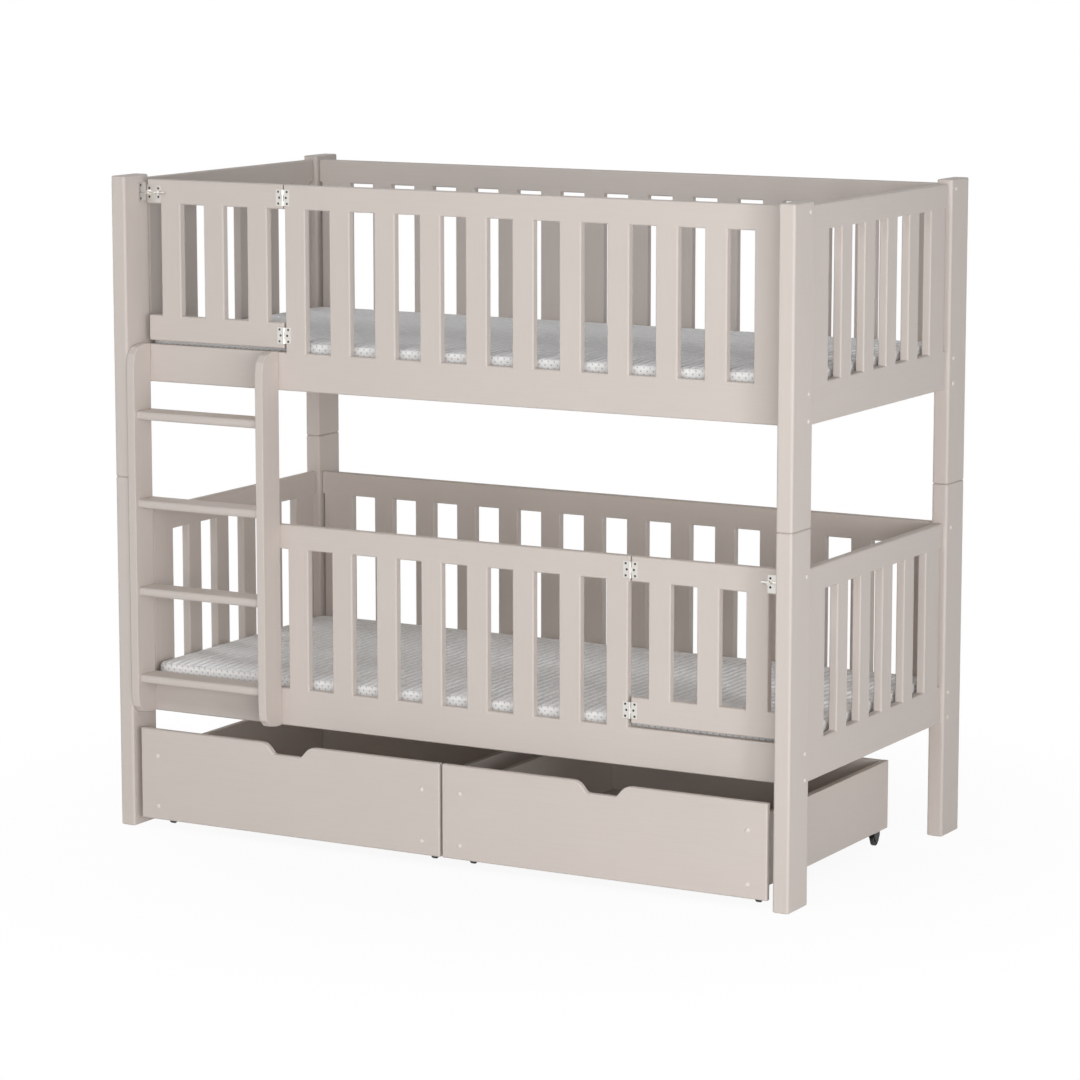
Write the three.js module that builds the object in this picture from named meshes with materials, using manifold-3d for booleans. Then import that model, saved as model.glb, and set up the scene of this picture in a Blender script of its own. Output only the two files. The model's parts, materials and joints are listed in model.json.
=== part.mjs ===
// Bunk bed with drawers. Two single beds of slatted panels stand one on the other between flat posts.
// A ladder leans flat against the left of the front, a gate beside each bed's entry swings outwards on
// butt hinges and is held by a sliding bolt, and two drawers roll on castors under the lower bed.
//
// Millimetres. X runs along the bed, the front is towards -Y, Z is up. The origin is on the floor under
// the middle of the whole bed. Most positions are written in the bed's own frame, which is centred
// between the posts; the outermost group then moves it back by half of what the ladder stands proud.

import * as THREE from 'three'
import { mergeVertices } from 'three/addons/utils/BufferGeometryUtils.js'
import Module from 'manifold-3d'

const wasm = await Module()
wasm.setup()

// Mattresses, which set the size of the whole bed
const mattressLength = 1800
const mattressWidth = 800
const mattressThickness = 83
const mattressCornerRadius = 35
const mattressEdgeRadius = 12
const mattressCrown = 7
const mattressSideDraw = 3
const mattressEndClearance = 4
const mattressSideClearance = 2

// Slatted panels
const panelThickness = 22
const bottomRailHeight = 94
const slotHeight = 350
const topRailHeight = 60
const slatWidth = 58
const slatGap = 69.2
const longPanelSlit = 7
const endPanelSlit = 15
const boardRounding = 2.5

// Posts
const postThickness = 42
const postWidth = 105
const postCornerRadius = 8
const longPanelSetback = 70
const endPanelInset = 10
const underBedHeight = 289
const tierRise = 837
const postTopRise = 10
const postJointHeight = 890
const dowelRadius = 8
const dowelLength = 30
const dowelSpacing = 60

// Gates
const gateSlatCount = 3
const gateHingeOverhang = 46.2
const gateLatchOverhang = 38.9
const gateBottomRailHeight = 63
const gateLift = 9.5
const gateHingeGap = 3
const upperGatePostGap = 19.5
const lowerGatePostGap = 10.5
const fixedRailOverhang = 2.8

// Butt hinges
const hingeHeight = 40
const hingeLeafWidth = 19.5
const hingeSheet = 1.2
const hingeAxisProud = 3
const hingeKnuckleRadius = 2.8
const hingePinRadius = 1.3
const hingeMiddleKnuckle = 13.4
const hingeTopDrop = 32
const hingeBottomRise = 32
const screwHoleRadius = 1.8
const sheetCornerRadius = 2
const hingeScrewSpacing = 14.5
const hingeScrewReach = 12.5
const hingeMiddleScrewReach = 9.5

// Latches
const latchPlateLength = 40.5
const latchPlateHeight = 43
const latchPlateInset = 0.5
const latchSheet = 1.2
const boltRadius = 2.5
const boltStandoff = 4.5
const boltDrop = 32
const boltAbovePlateFoot = 25
const boltTravel = 18
const boltRestGap = 6
const boltTail = 15
const boltBoreSlack = 2
const guideLength = 7
const guideHalfHeight = 5
const guideProud = 4.6
const knobRadius = 3
const knobReach = 12
const knobClearance = 1
const keeperWidth = 30
const keeperHeight = 46
const keeperLead = 5
const keeperScrewInset = 6.5
const latchScrewEndInset = 7
const latchScrewFootInset = 13.7
const latchScrewHeadInset = 8

// Bed bases
const bearerSide = 20
const bearerRise = 2
const bearerEndGap = 4
const baseSlatCount = 13
const baseSlatWidth = 60
const baseSlatThickness = 17
const baseSlatHousing = 1

// Ladder
const stringerThickness = 22
const ladderWidth = 401.2
const ladderProjection = 5
const ladderTopRise = 2
const stringerCornerRadius = 48
const stringerRounding = 1.2
const rungCount = 4
const rungThickness = 22
const firstRungRise = 80
const rungPitch = 222.3
const rungSetback = 8
const rungNosing = 10

// Drawers
const drawerEndGap = 17.5
const drawerMiddleGap = 7
const drawerFrontInset = 7.5
const drawerFrontThickness = 18
const drawerFrontFoot = 23
const drawerFrontHeight = 231
const gripWidth = 125
const gripFloorWidth = 79
const gripDepth = 27.5
const gripTopRadius = 33
const gripFloorRadius = 12
const drawerSideInset = 43
const drawerSideThickness = 16
const drawerSideFoot = 33.5
const drawerSideHeight = 171.5
const drawerBackDepth = 782
const drawerBottomThickness = 6
const drawerBottomRise = 9.5
const drawerGrooveDepth = 5
const drawerBoardRounding = 1

// Castors
const castorFrontInset = 49.5
const castorBackInset = 62
const wheelRadius = 14.5
const wheelWidth = 11
const wheelEdge = 1.2
const wheelFloorGap = 0.2
const wheelSideGap = 0.5
const wheelTopGap = 1
const axleRadius = 2
const castorCheek = 2.5
const castorLength = 30
const castorFootLength = 12
const castorFootDrop = 5
const castorShoulder = 7
const castorPeg = 1
const castorFootRadius = 3

// Between pieces that touch, and round pieces that turn or slide in others
const fit = 0.3

// How far a cutter reaches past the face that it opens
const cutterReach = 1

// Sizes that follow from the ones above
const panelHeight = bottomRailHeight + slotHeight + topRailHeight
const slatPitch = slatWidth + slatGap
const innerLength = mattressLength + 2 * mattressEndClearance
const innerWidth = mattressWidth + 2 * mattressSideClearance
const bedLength = innerLength + 2 * (panelThickness + endPanelInset)
const bedWidth = innerWidth + 2 * (panelThickness + longPanelSetback)
const postInnerX = bedLength / 2 - postThickness
const postInnerY = bedWidth / 2 - postWidth
const frontFaceY = -innerWidth / 2 - panelThickness
const postTop = underBedHeight + tierRise + panelHeight + postTopRise
const gateLength = gateHingeOverhang + gateSlatCount * slatPitch - slatGap + gateLatchOverhang
const upperHingeX = -postInnerX + upperGatePostGap + gateLength + gateHingeGap / 2
const lowerHingeX = postInnerX - lowerGatePostGap - gateLength - gateHingeGap / 2
const boltHeight = panelHeight - boltDrop
const boltY = frontFaceY - boltStandoff

const paint = { color: 0xd2c9c4, roughness: 0.45, metalness: 0 }
const pine = { color: 0xd9c3a0, roughness: 0.6, metalness: 0 }
const knit = { color: 0xcfcecd, roughness: 0.9, metalness: 0 }
const nickel = { color: 0xc9c6c1, roughness: 0.3, metalness: 1 }
const blackPlastic = { color: 0x1c1b1b, roughness: 0.5, metalness: 0 }

// An outline from its corners, each [a, b] or [a, b, radius] where it is rounded
function outline(corners) {
  const shape = new THREE.Shape()
  corners.forEach(([a, b, radius = 0], i) => {
    const corner = new THREE.Vector2(a, b)
    const before = new THREE.Vector2(...corners.at(i - 1)).sub(corner)
    const after = new THREE.Vector2(...corners[(i + 1) % corners.length]).sub(corner)
    const trim = radius / Math.tan(before.angleTo(after) / 2)
    const start = before.setLength(trim).add(corner)
    const end = after.setLength(trim).add(corner)
    if (i === 0) shape.moveTo(start.x, start.y)
    else shape.lineTo(start.x, start.y)
    if (radius > 0) shape.quadraticCurveTo(corner.x, corner.y, end.x, end.y)
  })
  return shape
}

function circle(a, b, radius) {
  return new THREE.Shape().absarc(a, b, radius, 0, 2 * Math.PI, false)
}

function rectangle(a0, a1, b0, b1, radius = 0) {
  return [[a0, b0, radius], [a1, b0, radius], [a1, b1, radius], [a0, b1, radius]]
}

// How an outline's own axes and its extrusion lie in the bed, for each axis it is extruded along
const frames = {
  x: new THREE.Matrix4().makeBasis(vector(0, 1, 0), vector(0, 0, 1), vector(1, 0, 0)),
  y: new THREE.Matrix4().makeBasis(vector(1, 0, 0), vector(0, 0, 1), vector(0, -1, 0)),
  z: new THREE.Matrix4(),
}

function vector(x, y, z) {
  return new THREE.Vector3(x, y, z)
}

// Lays what was made from z = 0 up to a thickness along an axis, from low to low plus that thickness
function lay(geometry, axis, low, thickness) {
  geometry.translate(0, 0, axis === 'y' ? -low - thickness : low)
  return geometry.applyMatrix4(frames[axis])
}

// Extrudes an outline along x, y or z between two places, with the edges of both faces eased
function extrude(corners, axis, low, high, rounding = 0, holes = []) {
  const shape = outline(corners)
  shape.holes = holes
  const geometry = new THREE.ExtrudeGeometry(shape, {
    depth: high - low - 2 * rounding,
    curveSegments: 3,
    bevelEnabled: rounding > 0,
    bevelThickness: rounding,
    bevelSize: rounding,
    bevelOffset: -rounding,
    bevelSegments: 1,
  })
  return lay(geometry.translate(0, 0, rounding), axis, low, high - low)
}

// A closed skin over rings of points, each counter-clockwise seen from above the last. A ring of one
// point is a pole, and any other end is closed flat.
function loft(rings) {
  const starts = rings.map((_, i) => rings.slice(0, i).reduce((sum, ring) => sum + ring.length, 0))
  const count = rings[1].length
  const end = rings.length - 1
  const at = (ring, i) => starts[ring] + (rings[ring].length === 1 ? 0 : i % count)
  const indices = []
  for (let ring = 0; ring < end; ring++) {
    for (let i = 0; i < count; i++) {
      if (rings[ring].length > 1) indices.push(at(ring, i), at(ring, i + 1), at(ring + 1, i + 1))
      if (rings[ring + 1].length > 1) indices.push(at(ring, i), at(ring + 1, i + 1), at(ring + 1, i))
    }
  }
  for (let i = 1; i < count - 1; i++) {
    if (rings[0].length > 1) indices.push(at(0, 0), at(0, i + 1), at(0, i))
    if (rings[end].length > 1) indices.push(at(end, 0), at(end, i), at(end, i + 1))
  }
  const geometry = new THREE.BufferGeometry()
  const positions = new Float32Array(rings.flat(2))
  geometry.setAttribute('position', new THREE.BufferAttribute(positions, 3))
  geometry.setIndex(indices)
  return geometry
}

function block(x0, x1, y0, y1, z0, z1) {
  const geometry = new THREE.BoxGeometry(x1 - x0, y1 - y0, z1 - z0)
  return geometry.translate((x0 + x1) / 2, (y0 + y1) / 2, (z0 + z1) / 2)
}

// A round bar along x, y or z, centred on the two other axes
function bar(radius, axis, low, high, sides = 10) {
  const geometry = new THREE.CylinderGeometry(radius, radius, high - low, sides)
  geometry.translate(0, (low + high) / 2, 0)
  if (axis === 'x') geometry.rotateZ(-Math.PI / 2)
  if (axis === 'z') geometry.rotateX(Math.PI / 2)
  return geometry
}

function toSolid(geometry) {
  const bare = geometry.clone()
  bare.deleteAttribute('normal')
  bare.deleteAttribute('uv')
  const merged = mergeVertices(bare)
  return new wasm.Manifold(new wasm.Mesh({
    numProp: 3,
    vertProperties: new Float32Array(merged.attributes.position.array),
    triVerts: new Uint32Array(merged.index.array),
  }))
}

function toGeometry(solid) {
  const mesh = solid.getMesh()
  const geometry = new THREE.BufferGeometry()
  geometry.setAttribute('position', new THREE.BufferAttribute(mesh.vertProperties, 3))
  geometry.setIndex(new THREE.BufferAttribute(mesh.triVerts, 1))
  return geometry
}

function join(...geometries) {
  return toGeometry(geometries.map(toSolid).reduce((whole, next) => whole.add(next)))
}

function cut(geometry, ...tools) {
  return toGeometry(tools.map(toSolid).reduce((whole, tool) => whole.subtract(tool), toSolid(geometry)))
}

function place(group, name, geometry, finish, x = 0, y = 0, z = 0) {
  const mesh = new THREE.Mesh(geometry, new THREE.MeshStandardMaterial(finish))
  mesh.name = name
  mesh.position.set(x, y, z)
  group.add(mesh)
}

// A post, standing on its own foot. A lower post carries dowels on its top, an upper one is bored for
// them, and the post that a bolt slides into has a blind hole for it.
function post({ height, dowels = false, bored = false, boltHole = null }) {
  const halfX = postThickness / 2
  const halfY = postWidth / 2
  const plan = rectangle(-halfX, halfX, -halfY, halfY, postCornerRadius)
  let geometry = extrude(plan, 'z', 0, height, boardRounding)
  for (const y of [-dowelSpacing / 2, dowelSpacing / 2]) {
    if (dowels) {
      const dowel = bar(dowelRadius, 'z', height - dowelLength, height + dowelLength)
      geometry = join(geometry, dowel.translate(0, y, 0))
    }
    if (bored) {
      const bore = bar(dowelRadius + fit, 'z', -cutterReach, dowelLength + fit)
      geometry = cut(geometry, bore.translate(0, y, 0))
    }
  }
  if (boltHole) {
    const { side, y, z } = boltHole
    const mouth = side * (halfX + cutterReach)
    const floor = side * (halfX - boltTravel + boltRestGap - boltBoreSlack)
    const bore = bar(boltRadius + 2 * fit, 'x', Math.min(mouth, floor), Math.max(mouth, floor))
    geometry = cut(geometry, bore.translate(0, y, z))
  }
  return geometry
}

// Cuts a rectangle through a panel. The cutter flares out near both faces, which eases the edges.
function openingCutter([a0, a1, b0, b1], axis, low) {
  const levels = [
    [-boardRounding, 2 * boardRounding],
    [boardRounding, 0],
    [panelThickness - boardRounding, 0],
    [panelThickness + boardRounding, 2 * boardRounding],
  ]
  const rings = levels.map(([depth, flare]) => (
    rectangle(a0 - flare, a1 + flare, b0 - flare, b1 + flare).map(([a, b]) => [a, b, depth])
  ))
  return lay(loft(rings), axis, low, panelThickness)
}

// A slatted panel in one piece: a rail along its foot, a rail along its top, and uprights between them.
// It stands across an axis, with its nearer face at low. Where a rail runs on past the outermost
// upright, or one rail past the other, the space there stays open.
function slattedPanel({ bottomRail, topRail, uprights }, axis, low) {
  const start = Math.min(bottomRail.from, topRail.from)
  const end = Math.max(bottomRail.to, topRail.to)
  const beyond = 4 * boardRounding
  const slotLow = bottomRail.high
  const slotHigh = topRail.low
  const edges = [start - beyond, ...uprights.flatMap(({ from, to }) => [from, to]), end + beyond]
  const openings = []
  for (let i = 0; i < edges.length; i += 2) openings.push([edges[i], edges[i + 1], slotLow, slotHigh])
  const above = topRail.high + beyond
  if (topRail.from > start) openings.push([start - beyond, topRail.from, slotLow, above])
  if (topRail.to < end) openings.push([topRail.to, end + beyond, slotLow, above])
  const face = rectangle(start, end, bottomRail.low, topRail.high)
  const board = extrude(face, axis, low, low + panelThickness, boardRounding)
  return cut(board, ...openings.map((opening) => openingCutter(opening, axis, low)))
}

const bottomRailSpan = { low: 0, high: bottomRailHeight }
const topRailSpan = { low: bottomRailHeight + slotHeight, high: panelHeight }

function slatsFrom(start, count) {
  return Array.from({ length: count }, (_, i) => {
    const from = start + i * slatPitch
    return { from, to: from + slatWidth }
  })
}

// A panel between two posts, with as many slats as fit and the rest of the width in two end stiles
function framedPanel(width, slit) {
  const half = width / 2
  const free = width - 2 * slit
  const count = Math.floor((free - slatGap - 2 * slatWidth) / slatPitch)
  const stile = (free - count * slatPitch - slatGap) / 2
  const slats = slatsFrom(-half + slit + stile + slatGap, count)
  const rail = { from: -half + fit, to: half - fit }
  return {
    bottomRail: { ...rail, ...bottomRailSpan },
    topRail: { ...rail, ...topRailSpan },
    uprights: [
      { from: -half + slit, to: -half + slit + stile },
      ...slats,
      { from: half - slit - stile, to: half - slit },
    ],
  }
}

const firstFrontSlat = upperHingeX + gateHingeGap / 2 + fixedRailOverhang
const ladderRightX = -postInnerX + fit + ladderWidth

// The upper front panel runs from its gate to the right post
function upperFrontPanel() {
  const stileEnd = postInnerX - longPanelSlit
  const count = Math.floor((stileEnd - firstFrontSlat - slatWidth) / slatPitch)
  return {
    bottomRail: { from: -postInnerX + fit, to: postInnerX - fit, ...bottomRailSpan },
    topRail: { from: upperHingeX + gateHingeGap / 2, to: postInnerX - fit, ...topRailSpan },
    uprights: [
      ...slatsFrom(firstFrontSlat, count),
      { from: firstFrontSlat + count * slatPitch, to: stileEnd },
    ],
  }
}

// The lower front panel runs from the ladder's right stringer to its gate
function lowerFrontPanel() {
  const railEnd = lowerHingeX - gateHingeGap / 2
  const count = Math.floor((railEnd - firstFrontSlat - slatWidth) / slatPitch) + 1
  return {
    bottomRail: { from: -postInnerX + fit, to: postInnerX - fit, ...bottomRailSpan },
    topRail: { from: ladderRightX - stringerThickness, to: railEnd, ...topRailSpan },
    uprights: slatsFrom(firstFrontSlat, count),
  }
}

// A gate, in the frame of its hinge axis. It reaches to -X where hand is -1 and to +X where it is 1.
function gate(hand) {
  const hingeEnd = gateHingeGap / 2
  const ends = [hand * hingeEnd, hand * (hingeEnd + gateLength)].sort((a, b) => a - b)
  const rail = { from: ends[0], to: ends[1] }
  const nearEdge = hingeEnd + gateHingeOverhang
  const farEdge = nearEdge + gateSlatCount * slatPitch - slatGap
  const foot = bottomRailHeight + gateLift
  return {
    bottomRail: { ...rail, low: foot, high: foot + gateBottomRailHeight },
    topRail: { ...rail, ...topRailSpan },
    uprights: slatsFrom(Math.min(hand * nearEdge, hand * farEdge), gateSlatCount),
  }
}

// A hinge leaf round its pin axis, with the sheet towards hand. The frame's leaf has the outer two
// knuckles and the pin, the gate's leaf has the middle one.
function hingeLeaf(hand, onGate) {
  const half = hingeHeight / 2
  const middle = hingeMiddleKnuckle / 2
  const gap = hingeKnuckleRadius + 2 * fit
  const back = hingeAxisProud - fit
  const bands = onGate ? [[-middle, middle]] : [[-half, -middle - fit], [middle + fit, half]]
  const holes = [
    circle(hand * hingeScrewReach, hingeScrewSpacing, screwHoleRadius),
    circle(hand * hingeMiddleScrewReach, 0, screwHoleRadius),
    circle(hand * hingeScrewReach, -hingeScrewSpacing, screwHoleRadius),
  ]
  const sheet = rectangle(hand * gap, hand * hingeLeafWidth, -half, half)
  const pieces = [extrude(sheet, 'y', back - hingeSheet, back, 0, holes)]
  for (const [low, high] of bands) {
    const tab = [hand * (gap + fit), 0].sort((a, b) => a - b)
    pieces.push(block(tab[0], tab[1], back - hingeSheet, back, low, high))
    pieces.push(bar(hingeKnuckleRadius, 'z', low, high))
  }
  if (!onGate) return join(...pieces, bar(hingePinRadius, 'z', -half, half))
  return cut(join(...pieces), bar(hingePinRadius + fit, 'z', -half, half))
}

// The latch, in the frame of the bolt's axis at the gate's free end, with the post towards hand
const guideOuter = latchPlateInset
const guideInner = latchPlateInset + latchPlateLength - guideLength
const knobAtRest = guideInner - knobRadius - knobClearance

function latchPlate(hand) {
  const back = boltStandoff - fit
  const foot = -boltAbovePlateFoot
  const head = foot + latchPlateHeight
  const near = -hand * latchPlateInset
  const far = -hand * (latchPlateInset + latchPlateLength)
  const holes = [latchScrewEndInset, latchPlateLength - latchScrewEndInset].flatMap((reach) => [
    circle(-hand * (latchPlateInset + reach), foot + latchScrewFootInset, screwHoleRadius),
    circle(-hand * (latchPlateInset + reach), head - latchScrewHeadInset, screwHoleRadius),
  ])
  const face = rectangle(near, far, foot, head, sheetCornerRadius)
  const sheet = extrude(face, 'y', back - latchSheet, back, 0, holes)
  const guides = [guideOuter, guideInner].map((start) => {
    const [x0, x1] = [-hand * start, -hand * (start + guideLength)].sort((a, b) => a - b)
    return block(x0, x1, -guideProud, back - latchSheet / 2, -guideHalfHeight, guideHalfHeight)
  })
  const reach = latchPlateInset + latchPlateLength + cutterReach
  return cut(join(sheet, ...guides), bar(boltRadius + fit, 'x', -reach, reach))
}

function latchBolt(hand, postGap) {
  const tip = hand * (postGap - boltRestGap)
  const tail = -hand * (latchPlateInset + latchPlateLength + boltTail)
  const rod = bar(boltRadius, 'x', Math.min(tip, tail), Math.max(tip, tail))
  return join(rod, bar(knobRadius, 'y', -knobReach, 0).translate(-hand * knobAtRest, 0, 0))
}

// The keeper lies flat on the post's inner face, which is at x = 0 here, round the bolt's axis
function latchKeeper(hand) {
  const foot = -keeperHeight / 2
  const edge = keeperWidth - keeperLead
  const [x0, x1] = [-hand * fit, -hand * (fit + latchSheet)].sort((a, b) => a - b)
  const screwY = keeperLead / 2
  const holes = [
    circle(0, 0, boltRadius + 2 * fit),
    circle(screwY, foot + keeperScrewInset, screwHoleRadius),
    circle(screwY, -foot - keeperScrewInset, screwHoleRadius),
  ]
  return extrude(rectangle(-keeperLead, edge, foot, -foot, sheetCornerRadius), 'x', x0, x1, 0, holes)
}

// A bed base in one piece: two bearers along the long rails, with cross slats housed in them
function bedBase() {
  const halfWidth = innerWidth / 2 - fit
  const halfLength = postInnerX - bearerEndGap
  const bearerTop = bearerRise + bearerSide
  const bearers = [-1, 1].map((side) => {
    const [y0, y1] = [side * halfWidth, side * (halfWidth - bearerSide)].sort((a, b) => a - b)
    return block(-halfLength, halfLength, y0, y1, bearerRise, bearerTop)
  })
  const pitch = (2 * halfLength - baseSlatWidth) / (baseSlatCount - 1)
  const low = bearerTop - baseSlatHousing
  const slats = Array.from({ length: baseSlatCount }, (_, i) => {
    const x0 = -halfLength + i * pitch
    return block(x0, x0 + baseSlatWidth, -halfWidth, halfWidth, low, low + baseSlatThickness)
  })
  return join(...bearers, ...slats)
}

const baseTop = bearerRise + bearerSide - baseSlatHousing + baseSlatThickness

// The mattress's outline from above: round corners, and sides that draw in between them
function mattressPlan() {
  const cornerSteps = 4
  const sideSteps = [4, 6]
  const halfX = mattressLength / 2
  const halfY = mattressWidth / 2
  const points = []
  for (let corner = 0; corner < 4; corner++) {
    const signX = corner === 0 || corner === 3 ? 1 : -1
    const signY = corner < 2 ? 1 : -1
    const centreX = signX * (halfX - mattressCornerRadius)
    const centreY = signY * (halfY - mattressCornerRadius)
    for (let step = 0; step <= cornerSteps; step++) {
      const angle = (corner + step / cornerSteps) * Math.PI / 2
      const x = centreX + mattressCornerRadius * Math.cos(angle)
      const y = centreY + mattressCornerRadius * Math.sin(angle)
      points.push([x, y])
    }
    const alongX = corner % 2 === 0
    const steps = sideSteps[alongX ? 1 : 0]
    const [x, y] = points.at(-1)
    for (let step = 1; step < steps; step++) {
      const share = 1 - 2 * step / steps
      points.push(alongX ? [share * x, y] : [x, share * y])
    }
  }
  return points.map(([x, y]) => [
    x * (1 - mattressSideDraw / halfX * (1 - (y / halfY) ** 2)),
    y * (1 - mattressSideDraw / halfY * (1 - (x / halfX) ** 2)),
  ])
}

// The mattress's skin: rings of its outline from the middle of its foot, up the sides and over the
// crowned top, each ring drawn in by its inset
function mattress() {
  const plan = mattressPlan()
  const edge = mattressEdgeRadius
  const shoulder = mattressThickness - mattressCrown
  const ring = (inset, height, crown = 0) => plan.map(([x, y]) => {
    const px = x * (1 - 2 * inset / mattressLength)
    const py = y * (1 - 2 * inset / mattressWidth)
    const swell = (1 - (2 * px / mattressLength) ** 4) * (1 - (2 * py / mattressWidth) ** 4)
    return [px, py, height + crown * swell]
  })
  const footRings = [0, 45, 90].map((degrees) => {
    const turn = THREE.MathUtils.degToRad(degrees)
    return ring(edge * (1 - Math.sin(turn)), edge * (1 - Math.cos(turn)))
  })
  const edgeRings = [0, 30, 60, 90].map((degrees) => {
    const turn = THREE.MathUtils.degToRad(degrees)
    return ring(edge * (1 - Math.cos(turn)), shoulder - edge * (1 - Math.sin(turn)))
  })
  const topRings = [0.93, 0.8, 0.6, 0.3].map((share) => {
    const inset = edge + (1 - share) * (mattressWidth / 2 - edge)
    return ring(inset, shoulder, mattressCrown)
  })
  return loft([[[0, 0, 0]], ...footRings, ...edgeRings, ...topRings, [[0, 0, mattressThickness]]])
}

// Ladder, in the bed's frame
function stringer() {
  const height = tierRise + bottomRailHeight + ladderTopRise
  const front = -bedWidth / 2 - ladderProjection
  const corners = [
    [front, 0, stringerCornerRadius], [frontFaceY - fit, 0],
    [frontFaceY - fit, height], [front, height, stringerCornerRadius],
  ]
  return extrude(corners, 'x', 0, stringerThickness, stringerRounding)
}

function rung() {
  const front = -bedWidth / 2 - ladderProjection + rungSetback
  const corners = [
    [front, 0, rungNosing], [frontFaceY - fit, 0],
    [frontFaceY - fit, rungThickness], [front, rungThickness, rungNosing],
  ]
  return extrude(corners, 'x', 0, ladderWidth - 2 * stringerThickness - 2 * fit)
}

// Drawers, in a frame on the floor under the middle of the drawer's front, in the posts' front plane
const drawerFrontLength = postInnerX - drawerEndGap - drawerMiddleGap / 2
const drawerBack = drawerFrontInset + drawerFrontThickness + fit
const drawerSideX = drawerFrontLength / 2 - drawerSideInset - drawerSideThickness / 2
const drawerInnerX = drawerSideX - drawerSideThickness / 2
const drawerBottomLow = drawerSideFoot + drawerBottomRise
const drawerBottomX = drawerInnerX + drawerGrooveDepth - fit
const drawerBottomFront = drawerBack - drawerGrooveDepth
const drawerBottomBack = drawerBackDepth - drawerSideThickness + drawerGrooveDepth - fit
const castorDepths = {
  front: drawerFrontInset + drawerFrontThickness + castorFrontInset,
  back: drawerBackDepth - castorBackInset,
}

// What the drawer's bottom needs free in the boards round it
function bottomGroove() {
  return block(
    -drawerBottomX - fit, drawerBottomX + fit, drawerBottomFront - fit, drawerBottomBack + fit,
    drawerBottomLow - fit, drawerBottomLow + drawerBottomThickness + fit,
  )
}

function drawerFront() {
  const half = drawerFrontLength / 2
  const top = drawerFrontFoot + drawerFrontHeight
  const corners = [
    [-half, drawerFrontFoot], [half, drawerFrontFoot], [half, top],
    [gripWidth / 2, top, gripTopRadius], [gripFloorWidth / 2, top - gripDepth, gripFloorRadius],
    [-gripFloorWidth / 2, top - gripDepth, gripFloorRadius], [-gripWidth / 2, top, gripTopRadius],
    [-half, top],
  ]
  const back = drawerFrontInset + drawerFrontThickness
  return cut(extrude(corners, 'y', drawerFrontInset, back, boardRounding), bottomGroove())
}

// A castor housing: a block that tapers down to its foot, slotted for the wheel and bored for the axle
function castorHousing() {
  const halfX = wheelWidth / 2 + wheelSideGap + castorCheek
  const axle = wheelRadius + wheelFloorGap
  const corners = [
    [-castorFootLength / 2, axle - castorFootDrop, castorFootRadius],
    [castorFootLength / 2, axle - castorFootDrop, castorFootRadius],
    [castorLength / 2, drawerSideFoot - castorShoulder],
    [castorLength / 2, drawerSideFoot + castorPeg],
    [-castorLength / 2, drawerSideFoot + castorPeg],
    [-castorLength / 2, drawerSideFoot - castorShoulder],
  ]
  const slotX = wheelWidth / 2 + wheelSideGap
  const slotTop = axle + wheelRadius + wheelTopGap
  return cut(
    extrude(corners, 'x', -halfX, halfX),
    block(-slotX, slotX, -castorLength, castorLength, 0, slotTop),
    bar(axleRadius + fit, 'x', -halfX - cutterReach, halfX + cutterReach).translate(0, 0, axle),
  )
}

function drawerSide(side) {
  const x = side * drawerSideX
  const top = drawerSideFoot + drawerSideHeight
  const face = rectangle(drawerBack, drawerBackDepth, drawerSideFoot, top)
  const half = drawerSideThickness / 2
  const grooved = cut(extrude(face, 'x', x - half, x + half, drawerBoardRounding), bottomGroove())
  const housings = Object.values(castorDepths).map((y) => castorHousing().translate(x, y, 0))
  return join(grooved, ...housings)
}

function drawerBackBoard() {
  const half = drawerInnerX - fit
  const face = rectangle(-half, half, drawerSideFoot, drawerSideFoot + drawerSideHeight)
  const front = drawerBackDepth - drawerSideThickness
  return cut(extrude(face, 'y', front, drawerBackDepth, drawerBoardRounding), bottomGroove())
}

function drawerBottom() {
  return block(
    -drawerBottomX, drawerBottomX, drawerBottomFront, drawerBottomBack,
    drawerBottomLow, drawerBottomLow + drawerBottomThickness,
  )
}

// A wheel with its axle, turned about X
function wheel() {
  const half = wheelWidth / 2
  const axleEnd = half + wheelSideGap + castorCheek - fit
  const profile = [
    [0, -axleEnd], [axleRadius, -axleEnd], [axleRadius, -half], [wheelRadius - wheelEdge, -half],
    [wheelRadius, -half + wheelEdge], [wheelRadius, half - wheelEdge], [wheelRadius - wheelEdge, half],
    [axleRadius, half], [axleRadius, axleEnd], [0, axleEnd],
  ]
  const points = profile.map(([radius, height]) => new THREE.Vector2(radius, height))
  return new THREE.LatheGeometry(points, 12).rotateZ(-Math.PI / 2)
}

const bed = new THREE.Group()
bed.position.y = ladderProjection / 2

const sides = { left: -1, right: 1 }
const depths = { front: -1, back: 1 }

function addPosts() {
  const postX = bedLength / 2 - postThickness / 2
  const postY = bedWidth / 2 - postWidth / 2
  const upperFoot = postJointHeight + fit
  for (const [depth, signY] of Object.entries(depths)) {
    for (const [side, signX] of Object.entries(sides)) {
      const boltHole = (foot, tier) => ({ side: -signX, y: boltY + postY, z: tier + boltHeight - foot })
      const lowerHole = depth === 'front' && side === 'right' ? boltHole(0, underBedHeight) : null
      const upperHole = depth === 'front' && side === 'left'
        ? boltHole(upperFoot, underBedHeight + tierRise) : null
      const lower = post({ height: postJointHeight, dowels: true, boltHole: lowerHole })
      const upper = post({ height: postTop - upperFoot, bored: true, boltHole: upperHole })
      place(bed, `lower_post_${depth}_${side}`, lower, paint, signX * postX, signY * postY, 0)
      place(bed, `upper_post_${depth}_${side}`, upper, paint, signX * postX, signY * postY, upperFoot)
    }
  }
}

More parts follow.
